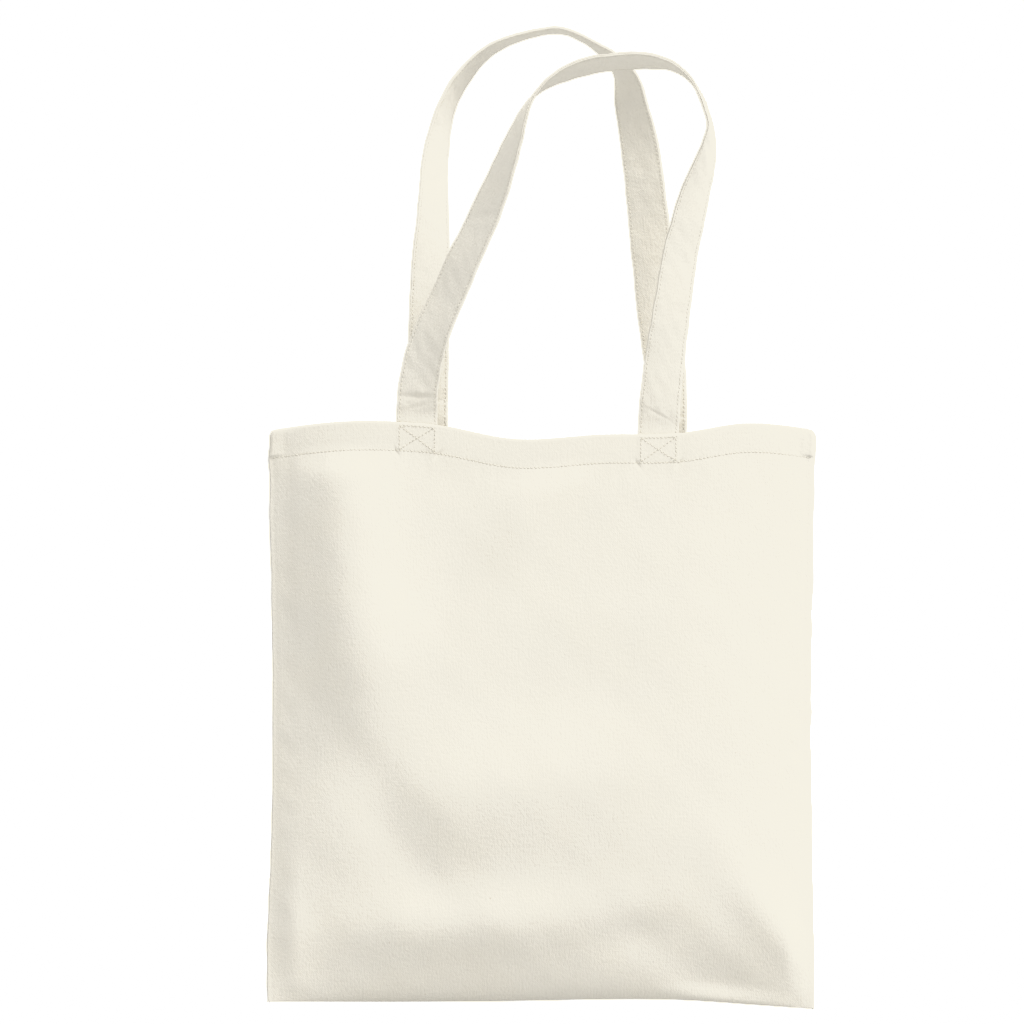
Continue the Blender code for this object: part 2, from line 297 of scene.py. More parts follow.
class BagShape:
    """The bag's surfaces as formulas, worked out from the sizes. All places are arrays."""

    def __init__(self, sizes):
        self.sizes = sizes
        self.width = sizes.bag_width
        self.fold_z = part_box("front_panel")[0].z - min(height for _, height in FOLD_WAVE)
        self.rim_z = self.fold_z + sizes.bag_height

    def half_width(self, up):
        """Centre line to the side edge at a share of the height."""
        return self.width / 2 - self.sizes.side_draw * np.sin(math.pi * np.clip(up, 0, 1)) ** 2

    def side_sway(self, x, z):
        """How far a side edge wanders outwards."""
        high = z - self.fold_z
        left = 1.8 * MM * bump(high - 0.030, 0.05) + 0.7 * MM * bump(high - 0.378, 0.006)
        right = 0.9 * MM * bump(high - 0.201, 0.004) + 0.8 * MM * bump(high - 0.392, 0.012)
        corner = 1.7 * MM * bump(np.maximum(0, self.rim(x) - z), 0.0022)
        return np.where(x < 0, left, right) + 0.35 * MM * ripples(37, 0.040, z, 0.5 * np.sign(x)) - corner

    def rim(self, x):
        """Height of the rim."""
        return self.rim_z + wave(RIM_WAVE, x / (self.width / 2))

    def fold(self, x):
        """Height of the bottom fold."""
        return self.fold_z + wave(FOLD_WAVE, x / (self.width / 2))

    def up(self, x, z):
        """Share of the height at a place."""
        return (z - self.fold(x)) / (self.rim(x) - self.fold(x))

    def depth(self, side, x, z):
        """Seam plane to the cloth, without its folds."""
        s = self.sizes
        up = np.clip(self.up(x, z), 0, 1)
        share = np.minimum(1, np.abs(x / self.half_width(up)))
        low = s.full_depth * np.maximum(0, 1 - (1 - up / s.full_from) ** 2) ** 0.6
        high = s.full_depth + (s.mouth_depth - s.full_depth) * ease((up - s.full_to) / (1 - s.full_to))
        full = np.where(up < s.full_from, low, high) * (1 - share**4) ** 1.1
        if side == FRONT:
            return full
        flat = s.back_depth + (s.back_rim_depth - s.back_depth) * ease((up - s.back_flat_top) / 0.06)
        blend = 1.5 * MM  # rounds the edge between the flat back and its sides
        return flat - blend * np.logaddexp(0, (flat - full) / blend)

    def relief(self, side, x, z):
        """How far the cloth stands out of that depth: folds, hem, seams and puckers."""
        s = self.sizes
        up = np.clip(self.up(x, z), 0, 1)
        high = z - self.fold(x)
        below = self.rim(x) - z
        inset = np.maximum(0, self.half_width(up) - np.abs(x))
        inner = ease(inset / 0.022) * ease(high / 0.014)
        folds = 0.0
        for at_x, at_z, *fold in FRONT_FOLDS if side == FRONT else REAR_FOLDS:
            folds = folds + ridge(x - at_x * MM, high - at_z * MM, *fold)
        body = 0.2 + 0.8 * ease((below - s.hem * 0.7) / 0.026)
        seed = 11 if side == FRONT else 23
        soft = 0.34 * MM * ripples(seed, 0.085, x, z) + 0.14 * MM * ripples(seed + 1, 0.030, x, z)
        out = (folds + soft) * inner * body
        out = out + 0.25 * MM * ripples(seed + 2, 0.060, x) * ease(inset / 0.030) * (1 - body)
        under_hem = bump(below - s.hem - 0.006, 0.009)
        puckers = 0.16 * MM * ripples(seed + 3, 0.013, x, 0.35 * z) * under_hem * inner
        hem_groove = 0.10 * MM * bump(below - s.hem, 0.0012)
        hem_puff = 0.14 * MM * bump(below - s.hem / 2, s.hem * 0.36)
        out = out + puckers - hem_groove + hem_puff
        return out + self.side_seam(side, x, z, inset, below) + self.strap_marks(side, x, below)

    def side_seam(self, side, x, z, inset, below):
        """The ridge and the hollow along each side seam, and the thick end of the hem at each corner."""
        hollow = np.where(x < 0, 0.0032, 0.0052)
        top = ease((z - self.fold_z - 0.10) / 0.12)
        pull = 0.7 + 0.3 * ripples(31, 0.017, z)
        out = -0.34 * MM * bump(inset - hollow, 0.0013) * (0.35 + 0.65 * top) * pull
        out = out + 0.30 * MM * bump(inset - 0.011, 0.004) * ripples(33 + side, 0.028, z)
        thick_end = ease((0.0125 - inset) / 0.0016) * ease((inset - 0.0008) / 0.0010)
        thick_end = thick_end * ease((0.0190 - below) / 0.0014)
        return out + (0.70 * MM - 0.16 * (inset - 0.0062)) * thick_end

    def strap_marks(self, side, x, below):
        """How sewn strap ends show through the hem: a low plateau, with creases from its lower corners."""
        s = self.sizes
        out = 0.0
        for leg in (LEFT, RIGHT):
            dx = x - self.leg_x(side, leg)
            half = s.strap_width / 2
            plate = ease((half + 0.0012 - np.abs(dx)) / 0.0020) * ease((s.hem + 0.001 - below) / 0.003)
            out = out + 0.18 * MM * plate
            for corner, degrees in ((LEFT, 58), (RIGHT, 128)):
                along, across = turned(dx - corner * (half + 0.0006), below - s.hem - 0.0006, degrees)
                out = out - 0.85 * MM * bump(along - 0.0005, 0.0036) * bump(across, 0.0011)
        return out

    def strap_exit(self, side, leg):
        """Height at which a strap leaves the hem: where the rim is highest across it."""
        across = np.array((-1, -0.5, 0, 0.5, 1)) * self.sizes.strap_width / 2
        return float(self.rim(self.leg_x(side, leg) + across).max()) + 0.3 * MM

    def strap_cover(self, side, x, below):
        """Thickness of the strap end that covers the inside of the hem at a place."""
        s = self.sizes
        covered = np.zeros_like(x)
        for leg in (LEFT, RIGHT):
            over = (np.abs(x - self.leg_x(side, leg)) < s.strap_width / 2) & (below < s.hem + s.strap_tuck)
            covered = np.where(over, STRAP_END, covered)
        return covered

    def leg_x(self, side, leg):
        """Middle of a strap's leg."""
        shift = self.sizes.front_shift if side == FRONT else self.sizes.rear_shift
        return shift + leg * self.sizes.handle_spacing / 2

    def skin_depth(self, side, x, z):
        """Seam plane to the outer face of the cloth, folds and all."""
        least = self.sizes.seam_depth
        return np.maximum(least, least + self.depth(side, x, z) + self.relief(side, x, z))

    def skin(self, side, x, z, inward=0.0):
        """Points on the outer face of the cloth, moved towards the inside of the bag."""
        x, z = np.broadcast_arrays(np.asarray(x, float), np.asarray(z, float))
        y = side * (self.skin_depth(side, x, z) - inward)
        return np.stack([x, y, z], axis=-1)

    def skin_normal(self, side, x, z):
        """Outward normals of that face."""
        x, z = np.broadcast_arrays(np.asarray(x, float), np.asarray(z, float))
        step = 0.4 * MM
        across = self.skin(side, x + step, z) - self.skin(side, x - step, z)
        upward = self.skin(side, x, z + step) - self.skin(side, x, z - step)
        return unit(np.cross(across, upward)) * -side


def length_of(name, description, default, least=0.0):
    kind = {"precision": 4, "unit": "LENGTH", "subtype": "DISTANCE"}
    return FloatProperty(name=name, description=description, default=default, min=least, **kind)


def amount_of(name, description, default, **kind):
    return FloatProperty(name=name, description=description, default=default, min=0, **kind)


def share_of(name, description, default):
    return FloatProperty(name=name, description=description, default=default, min=0, max=1, subtype="FACTOR")


def colour_of(name, description, default):
    return FloatVectorProperty(
        name=name, description=description, default=default, min=0, max=1, size=3, subtype="COLOR"
    )


# ---------------------------------------------------------------- shader maths


class Sock:
    """A shader socket with Python's operators. Each operator adds a Math node."""

    def __init__(self, shader, socket):
        self.shader = shader
        self.socket = socket

    def math(self, operation, *values):
        return self.shader.node("ShaderNodeMath", {"operation": operation}, *values)

    def __add__(self, other):
        return self.math("ADD", self, other)

    def __radd__(self, other):
        return self.math("ADD", other, self)

    def __sub__(self, other):
        return self.math("SUBTRACT", self, other)

    def __rsub__(self, other):
        return self.math("SUBTRACT", other, self)

    def __mul__(self, other):
        return self.math("MULTIPLY", self, other)

    def __rmul__(self, other):
        return self.math("MULTIPLY", other, self)

    def __abs__(self):
        return self.math("ABSOLUTE", self)

    def sine(self):
        return self.math("SINE", self)

    def power(self, exponent):
        return self.math("POWER", self, exponent)

    def rise(self, low, high):
        """0 at low and 1 at high, smooth in between."""
        smooth, ends = {"interpolation_type": "SMOOTHSTEP"}, {"From Min": low, "From Max": high}
        return self.shader.node("ShaderNodeMapRange", smooth, Value=self, **ends)

    def twin(self, index):
        """Another output of the same node."""
        return Sock(self.shader, self.socket.node.outputs[index])


class Shader:
    """A new material and its nodes."""

    def __init__(self, name):
        self.material = bpy.data.materials.new(name)
        self.material.use_nodes = True
        self.tree = self.material.node_tree
        self.surface = self.tree.nodes["Principled BSDF"]

    def connect(self, socket, value):
        if isinstance(value, Sock):
            self.tree.links.new(value.socket, socket)
        else:
            socket.default_value = value

    def node(self, kind, settings, *values, output=0, **named):
        """A node of that type. Its settings come first, then values or links by place or by socket name."""
        made = self.tree.nodes.new(kind)
        for key, value in settings.items():
            setattr(made, key, value)
        for i, value in enumerate(values):
            self.connect(made.inputs[i], value)
        for key, value in named.items():
            self.connect(next(s for s in made.inputs if s.name == key and s.enabled), value)
        return Sock(self, made.outputs[output])

    def noise(self, place, scale, detail, **named):
        """A node of soft noise, from 0 to 1."""
        return self.node("ShaderNodeTexNoise", {}, Vector=place, Scale=scale, Detail=detail, **named)

    def mix(self, factor, a, b):
        """Colour between a and b."""
        return self.node("ShaderNodeMix", {"data_type": "RGBA"}, output=2, Factor=factor, A=a, B=b)

    def set(self, **named):
        """Sets sockets of the surface, with _ for each space in their names."""
        for key, value in named.items():
            self.connect(self.surface.inputs[key.replace("_", " ")], value)


def dot_row(shader, along, across, radius):
    """1 in the needle holes of a sewn line: one hole at each whole number along it, across in millimetres."""
    near = shader.node("ShaderNodeMath", {"operation": "PINGPONG"}, along, 0.5) * 2.7
    return 1 - (near.power(2.0) + across.power(2.0)).power(0.5).rise(radius * 0.55, radius * 1.35)


def weave(shader, place, warp, weft):
    """Height of a plain weave from 0 to 1, with the pitch of its threads in metres."""
    split = shader.node("ShaderNodeSeparateXYZ", {}, place)
    wander = shader.noise(place, 180.0, 2.0) * 5.0
    across = (split * (math.pi / warp) + wander).sine()
    upward = (split.twin(1) * (math.pi / weft) + wander).sine()
    return across * upward * 0.3 + abs(across) * 0.4 + abs(upward) * 0.3


def canvas_material(name, colour):
    """Unbleached cotton canvas: a plain weave of thick and thin yarns, with husk flecks and needle holes, and
    painted shade between the yarns, in its pits and in the needle holes.
    """
    found = bpy.data.materials.get(name)
    if found:
        return found
    looks = bpy.context.scene.tote_looks
    shader = Shader(name)
    place = shader.node("ShaderNodeUVMap", {"uv_map": "cloth"})
    sewn = shader.node("ShaderNodeUVMap", {"uv_map": "sewing"})
    sewn = shader.node("ShaderNodeSeparateXYZ", {}, sewn)
    cloth = weave(shader, place, looks.warp_pitch, looks.weft_pitch)
    along_warp = shader.node("ShaderNodeMapping", {}, place, Scale=(1.0, 0.085, 1.0))
    along_weft = shader.node("ShaderNodeMapping", {}, place, Scale=(0.085, 1.0, 1.0))
    warp_slubs = shader.noise(along_warp, 820.0, 3.0, Roughness=0.6)
    weft_slubs = shader.noise(along_weft, 700.0, 3.0, Roughness=0.6)
    crimp_place = shader.node("ShaderNodeMapping", {}, place, Scale=(1.0, 0.6, 1.0))
    crimp = shader.noise(crimp_place, 620.0, 2.0, Roughness=0.65)
    pits = crimp.rise(0.56, 0.70)
    tone = shader.noise(place, 22.0, 3.0)
    fleck_place = shader.node("ShaderNodeTexVoronoi", {}, Vector=place, Scale=95.0, Randomness=1.0)
    flecks = 1 - fleck_place.rise(0.030, 0.060)
    fleck_pick = shader.noise(place, 31.0, 1.0).rise(0.60, 0.66)
    holes = dot_row(shader, sewn, sewn.twin(1), looks.hole_size)
    yarn = warp_slubs * 0.6 + weft_slubs * 0.4
    # painted shade between the yarns and in the pits of the cloth, plus darker streaks of thin yarn as grain
    dark = (1 - cloth) * 0.07 + (1 - yarn.rise(0.30, 0.62)) * 0.05 + pits * 0.10
    shade = shader.mix(dark, (*colour, 1.0), tuple(looks.painted_shade_colour) + (1.0,))
    shade = shader.mix(tone.rise(0.35, 0.68) * 0.35, shade, tuple(looks.warm_colour) + (1.0,))
    shade = shader.mix(flecks * fleck_pick * 0.55, shade, tuple(looks.fleck_colour) + (1.0,))
    # painted shade in the needle holes
    shade = shader.mix(holes * 0.28, shade, tuple(looks.hole_shade_colour) + (1.0,))
    height = cloth * 0.35 + warp_slubs * 0.6 + weft_slubs * 0.3 - crimp * 1.3 - holes * 1.2
    normal = shader.node("ShaderNodeBump", {}, Strength=0.6, Distance=0.0005, Height=height)
    shader.set(Base_Color=shade, Roughness=0.93 - yarn * 0.06, Normal=normal)
    shader.set(Sheen_Weight=0.12, Sheen_Roughness=0.6, Specular_IOR_Level=0.2)
    return shader.material


def thread_material():
    """Spun cotton thread, two plies twisted together."""
    found = bpy.data.materials.get("cotton_thread")
    if found:
        return found
    looks = bpy.context.scene.tote_looks
    shader = Shader("cotton_thread")
    place = shader.node("ShaderNodeUVMap", {"uv_map": "cloth"})
    split = shader.node("ShaderNodeSeparateXYZ", {}, place)
    twist = (split * (math.pi / 0.00045) + split.twin(1) * (2 * math.pi)).sine()
    fuzz = shader.noise(place, 3.0, 3.0)
    light, dark = tuple(looks.thread_colour) + (1.0,), tuple(looks.painted_shade_colour) + (1.0,)
    # painted shade in the grooves between the plies, with random tone from the fuzz
    shade = shader.mix((1 - abs(twist)) * 0.25 + fuzz * 0.15, light, dark)
    normal = shader.node("ShaderNodeBump", {}, Strength=0.5, Distance=0.00012, Height=abs(twist) + fuzz * 0.4)
    shader.set(Base_Color=shade, Roughness=0.78 + fuzz * 0.1, Normal=normal)
    shader.set(Sheen_Weight=0.1, Specular_IOR_Level=0.3)
    return shader.material


# ---------------------------------------------------------------- meshes


def new_object(name, points, faces, material, cloth, sewing=None, closed=True):
    """A smooth mesh object. cloth and sewing give a pair of numbers for each face corner."""
    mesh = bpy.data.meshes.new(name)
    mesh.from_pydata([tuple(point) for point in points.tolist()], [], faces)
    for layer_name, pairs in (("cloth", cloth), ("sewing", sewing)):
        if pairs is not None:
            layer = mesh.uv_layers.new(name=layer_name)
            layer.uv.foreach_set("vector", np.asarray(pairs, np.float32).ravel())
    if closed:
        work = bmesh.new()
        work.from_mesh(mesh)
        bmesh.ops.recalc_face_normals(work, faces=work.faces)
        work.to_mesh(mesh)
        work.free()
    mesh.materials.append(material)
    mesh.shade_smooth()
    obj = bpy.data.objects.new(name, mesh)
    bpy.context.scene.collection.objects.link(obj)
    return obj


def grid_faces(rows, columns, flip=False):
    """Corner numbers of the faces of a grid of points, row by row."""
    start = (np.arange(rows - 1)[:, None] * columns + np.arange(columns - 1)[None, :]).ravel()
    faces = np.stack([start, start + 1, start + columns + 1, start + columns], axis=1)
    return faces[:, ::-1] if flip else faces


def ring_faces(rows, columns):
    """Corner numbers of the faces of a tube of rings, each ring closed."""
    row, column = np.meshgrid(np.arange(rows - 1), np.arange(columns), indexing="ij")
    after = (column + 1) % columns
    here, above = row * columns, (row + 1) * columns
    corners = (here + column, here + after, above + after, above + column)
    return np.stack([corner.ravel() for corner in corners], axis=1)


def strip_faces(rows, columns):
    """Faces of a closed tube whose rings run down one side of a strip and back up the other."""
    near = np.arange(columns // 2 - 1)
    cap = np.stack([near, near + 1, columns - 2 - near, columns - 1 - near], axis=1)
    return np.concatenate([ring_faces(rows, columns), cap, cap + (rows - 1) * columns])


def outline_of(path, thickness):
    """Outline of a strip of cloth seen end on, and how far along the strip each outline point lies."""
    path = np.array(path)
    way = unit(np.gradient(path, axis=0))
    off = np.stack([-way[:, 1], way[:, 0]], axis=1) * thickness / 2
    run = run_along(path)
    return np.concatenate([path + off, (path - off)[::-1]]), np.concatenate([run, run[::-1]])


def arc(x, y, radius, start, end, steps):
    """Points of an arc between those angles, with both ends."""
    angles = np.radians(np.linspace(start, end, steps))
    return [(x + radius * math.cos(angle), y + radius * math.sin(angle)) for angle in angles]


def sewing_places(corners, lines):
    """Place of each face corner along and across the sewn line that is nearest to its face.

    corners is (faces, corners, 2) on the flat cloth. A line is (start, end, number of stitches).
    """
    best = np.full(len(corners), 1.0)
    found = np.full(corners.shape, UNSEWN)
    middle = corners.mean(axis=1)
    for start, end, count in lines:
        start, end = np.array(start), np.array(end)
        length = np.linalg.norm(end - start)
        way = (end - start) / length
        side = np.array((-way[1], way[0]))
        along = (middle - start) @ way
        beyond = np.maximum(0, np.maximum(-along, along - length))
        away = np.hypot((middle - start) @ side, beyond)
        nearest = (away < best) & (away < 0.004) & (beyond < 0.0008)
        best[nearest] = away[nearest]
        found[nearest, :, 0] = (corners[nearest] - start) @ way * count / length
        found[nearest, :, 1] = (corners[nearest] - start) @ side / MM
    return found


def counted(lines, pitch):
    """Lines with a whole number of stitches."""
    return [(a, b, max(2, round(math.dist(a, b) / pitch))) for a, b in lines]


def box_lines(shape, side, leg):
    """Sides, top and cross of the box that sews a strap end through the hem, whose own row is its foot."""
    s = shape.sizes
    middle, half = shape.leg_x(side, leg), s.strap_width / 2 - s.edge_stitch
    low, high = s.hem - 0.8 * MM, 2.2 * MM
    a, b, c, d = (middle - half, low), (middle + half, low), (middle + half, high), (middle - half, high)
    return counted([(b, c), (c, d), (d, a), (a, c), (b, d)], s.box_pitch)


def hem_lines(shape):
    s = shape.sizes
    reach = s.bag_width / 2 - s.seam_inset
    return counted([((-reach, s.hem), (reach, s.hem))], s.hem_pitch)


def stitch_mesh(paths, normals, radius):
    """Points, faces and thread coordinates of short rounded stitches. paths is (count, points, 3)."""
    count, steps = paths.shape[:2]
    sides = 6
    taper = np.interp(np.linspace(0, 1, steps), (0, 0.25, 0.75, 1), (0.55, 1, 1, 0.55))
    forward = unit(np.gradient(paths, axis=1))
    across = unit(np.cross(forward, np.broadcast_to(normals[:, None], paths.shape)))
    upward = np.cross(across, forward)
    turn = np.linspace(0, 2 * math.pi, sides, endpoint=False)
    ring = np.cos(turn)[:, None] * upward[:, :, None] + np.sin(turn)[:, None] * across[:, :, None]
    rings = (paths[:, :, None] + radius * taper[:, None, None] * ring).reshape(count, -1, 3)
    first, last = paths[:, :1] - forward[:, :1] * radius * 0.4, paths[:, -1:] + forward[:, -1:] * radius * 0.4
    points = np.concatenate([first, rings, last], axis=1)
    size = points.shape[1]
    quads = ring_faces(steps, sides) + 1
    top = 1 + (steps - 1) * sides
    tris = [(0, 1 + (j + 1) % sides, 1 + j) for j in range(sides)]
    tris = np.array(tris + [(size - 1, top + j, top + (j + 1) % sides) for j in range(sides)])
    length = np.linalg.norm(np.diff(paths, axis=1), axis=2).sum(axis=1).mean()
    along = np.concatenate([[0], np.repeat(np.linspace(0, length, steps), sides), [length]])
    around = np.concatenate([[0], np.tile(np.arange(sides) / sides, steps), [0]])
    flat = np.tile(np.stack([along, around], axis=1), (count, 1))
    flat = flat + np.repeat(np.arange(count)[:, None] * np.array((0.0137, 0.31)), size, axis=0)
    shifts = np.arange(count)[:, None, None] * size
    quads, tris = (quads[None] + shifts).reshape(-1, 4), (tris[None] + shifts).reshape(-1, 3)
    corners = np.concatenate([flat[quads].reshape(-1, 2), flat[tris].reshape(-1, 2)])
    return points.reshape(-1, 3), quads.tolist() + tris.tolist(), corners


def uneven_stitches(start, end, count, seed):
    """Five points on each stitch of a line, a little uneven in place, length and direction."""
    draw = np.random.default_rng(seed)
    middles = (np.arange(count) + 0.5 + draw.uniform(-0.04, 0.04, count)) / count
    half = draw.uniform(0.35, 0.41, count) / count
    shares = middles[:, None] + half[:, None] * np.linspace(-1, 1, 5)
    start, end = np.array(start, float), np.array(end, float)
    way = unit(end - start)
    tilt = draw.uniform(-0.12, 0.12, count)[:, None] * np.linspace(-1, 1, 5) * MM
    return start + (end - start) * shares[..., None] + tilt[..., None] * np.array((-way[1], way[0]))


def cloth_stitches(shape, side, lines, seed):
    """Paths and normals of those lines' stitches on the outside of the cloth, and again on the inside."""
    s = shape.sizes
    paths, normals = [], []
    for i, (start, end, count) in enumerate(lines):
        for inside in (0, 1):
            places = uneven_stitches(start, end, count, seed + 2 * i + inside)
            x, below = places[..., 0], places[..., 1]
            z = shape.rim(x) - below
            out = shape.skin_normal(side, x, z)
            base = shape.skin(side, x, z)
            if inside:
                base = base - out * (s.hem_back + shape.strap_cover(side, x, below))[..., None]
                out = -out
            paths.append(base + out * (s.thread * 0.3 + ARCH)[:, None])
            normals.append(out[:, 2])
    return np.concatenate(paths), np.concatenate(normals)


def thread_object(name, paths, normals, radius, replaced, body=None):
    """One piece of many stitches, which stands for those nodes."""
    points, faces, corners = stitch_mesh(paths, normals, radius)
    obj = new_object(name, points, faces, thread_material(), corners)
    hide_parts(*replaced)
    if body:
        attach(obj, body)
    return obj


class StrapPath:
    """One strap from sewn end to sewn end, read by the length along it, across it and out of its face."""

    def __init__(self, shape, side):
        self.shape, self.side = shape, side
        s = shape.sizes
        front = side == FRONT
        rise, lean, route = (
            (s.front_rise, s.front_lean, FRONT_ROUTE) if front else (s.rear_rise, s.rear_lean, REAR_ROUTE)
        )
        shift = s.front_shift if front else s.rear_shift
        points = [self.rim_end(LEFT)]
        y = points[0][1]
        for across, up, roll in route:
            x, z = shift + across * s.handle_spacing, shape.rim_z + up * rise
            points.append((x, y + side * lean * up, z, roll))
        points = np.array(points + [self.rim_end(RIGHT)])
        along = run_along(points[:, :3])
        curve = spline(along, points, np.linspace(0, along[-1], 3000))
        length = run_along(curve[:, :3])
        even = np.linspace(0, length[-1], 361)
        free = np.stack([np.interp(even, length, curve[:, k]) for k in range(4)], axis=1)
        left, right = self.sewn_end(LEFT), self.sewn_end(RIGHT)
        tail = len(left)
        places = np.concatenate([left, free, right[::-1]])
        self.length = run_along(places[:, :3])
        self.total = self.length[-1]
        self.left_exit, self.right_exit = self.length[tail], self.length[-tail - 1]
        tangent = unit(np.gradient(places[:, :3], axis=0))
        tangent[: tail + 1] = (0, 0, 1)
        tangent[-tail - 1 :] = (0, 0, -1)
        inner = unit(np.cross((0.0, 1.0, 0.0), tangent))
        forward = np.cross(inner, tangent)
        roll = np.radians(places[:, 3:]) * -side
        self.places = places[:, :3]
        self.across = inner * np.cos(roll) + forward * np.sin(roll)
        self.face = forward * np.cos(roll) - inner * np.sin(roll)

    def middle_y(self, x, z):
        s = self.shape.sizes
        return float(self.side * (s.seam_depth + self.shape.depth(self.side, x, z) - s.strap_back))

    def rim_end(self, leg):
        x = self.shape.leg_x(self.side, leg)
        return (x, self.middle_y(x, self.shape.rim(x)), self.shape.strap_exit(self.side, leg) + 0.8 * MM, 0.0)

    def sewn_end(self, leg):
        """Stations of a sewn end, from its foot up to where it leaves the hem."""
        s = self.shape.sizes
        x = self.shape.leg_x(self.side, leg)
        foot = self.shape.rim(x) - s.hem - s.strap_tuck
        heights = np.linspace(foot, self.rim_end(leg)[2], 15)[:-1]
        return np.array([(x, self.middle_y(x, min(z, self.shape.rim(x))), z, 0.0) for z in heights])

    def at(self, length, across, out):
        """Points at those lengths along the strap, across it (towards its inner edge) and out of its face."""
        length, across, out = np.broadcast_arrays(length, across, out)
        out = out + np.sign(out) * self.thickening(length, across) + self.bends(length, across)
        across = across + self.edge_waviness(length, across)

        def read(rows):
            return np.stack([np.interp(length, self.length, rows[:, k]) for k in range(3)], axis=-1)

        middle = read(self.places)
        points = middle + read(self.across) * across[..., None] + read(self.face) * out[..., None]
        sewn = 1 - ease(np.minimum(length - self.left_exit, self.right_exit - length) / 0.012)
        x = points[..., 0]
        high = np.minimum(points[..., 2], self.shape.rim(x) - MM)
        cloth = self.side * (self.shape.skin_depth(self.side, x, high) - self.shape.sizes.strap_back)
        points[..., 1] += (cloth - middle[..., 1]) * sewn
        return points

    def free_share(self, length):
        """0 on the sewn ends and 1 on the free loop."""
        return ease((np.minimum(length - self.left_exit, self.right_exit - length) + 0.002) / 0.02)

    def thickening(self, length, across):
        """How the strap puffs between its rows of stitches and is drawn in along them."""
        s = self.shape.sizes
        row = s.strap_width / 2 - s.edge_stitch
        puff = 0.16 * MM * np.clip(1 - (across / row) ** 2, 0, 1)
        drawn = -0.17 * MM * bump(np.abs(across) - row, 0.0011)
        return puff + drawn + 0.05 * MM * ripples(61, 0.009, length, across)

    def bends(self, length, across):
        """Soft bends of the whole strap, and the creases where it has been folded."""
        seed = 71 if self.side == FRONT else 83
        out = 0.35 * MM * ripples(seed, 0.050, length, 0.6 * across)
        out = out + 0.14 * MM * ripples(seed + 1, 0.014, length, 1.4 * across)
        for start, *crease in FRONT_CREASES if self.side == FRONT else REAR_CREASES:
            ahead = length - (self.left_exit if start >= 0 else self.right_exit) - start * MM
            out = out + ridge(across, ahead, *crease)
        return out * self.free_share(length)

    def edge_waviness(self, length, across):
        seed = 91 if self.side == FRONT else 97
        return 0.28 * MM * ripples(seed, 0.030, length, 0.8 * across) * self.free_share(length)


def strap_section(sizes):
    """Outline of the folded strap seen end on.

    Both raw edges are turned in to the middle and the strap is folded once more, so its inner edge shows two
    folds with a slit between them, and its outer edge shows one.
    """
    layer, edge = sizes.strap_layer, sizes.strap_width / 2
    turn = edge - layer
    path = [(x, layer / 2) for x in (-edge + 1.4 * MM, -edge / 2, 0.0, edge / 2, turn - MM)]
    path += arc(turn, layer, layer / 2, -90, 90, 6)
    path += [(x, 1.5 * layer) for x in np.linspace(turn - MM, -edge + 2.2 * MM, 19)]
    path += arc(-edge + 1.5 * layer, 0.0, 1.5 * layer, 90, 180, 5)
    path += [(x, -out) for x, out in path[::-1][1:]]
    return outline_of(path, layer - 0.06 * MM)


def bend_between(obj, label):
    """Bakes where a strap, or its stitches, stands into its mesh. The fold joint of its handle is read, but
    nothing bends with it.
    """
    joint = next(j for j in frame["joints"] if j["name"] == f"{label}_handle_fold")
    at, axis = np.array(joint["pos_m"]), np.array(joint["axis"])
    up = unit(np.cross(axis, (0.0, 1.0, 0.0)))
    up = up * np.sign(up[2])
    tuple(at - 0.0005 * up)
    tuple(at + 0.016 * up)
    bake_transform(obj)


def weld(obj, distance):
    """Joins points that lie together."""
    work = bmesh.new()
    work.from_mesh(obj.data)
    bmesh.ops.remove_doubles(work, verts=work.verts, dist=distance)
    work.to_mesh(obj.data)
    work.free()


def thicken(obj, thickness):
    """Gives an open cloth its thickness behind its outer face."""
    solid = obj.modifiers.new("thickness", "SOLIDIFY")
    solid.thickness = thickness
    solid.offset = -1
    made = bpy.data.meshes.new_from_object(obj.evaluated_get(bpy.context.evaluated_depsgraph_get()))
    obj.modifiers.clear()
    obj.data = made
    made.shade_smooth()


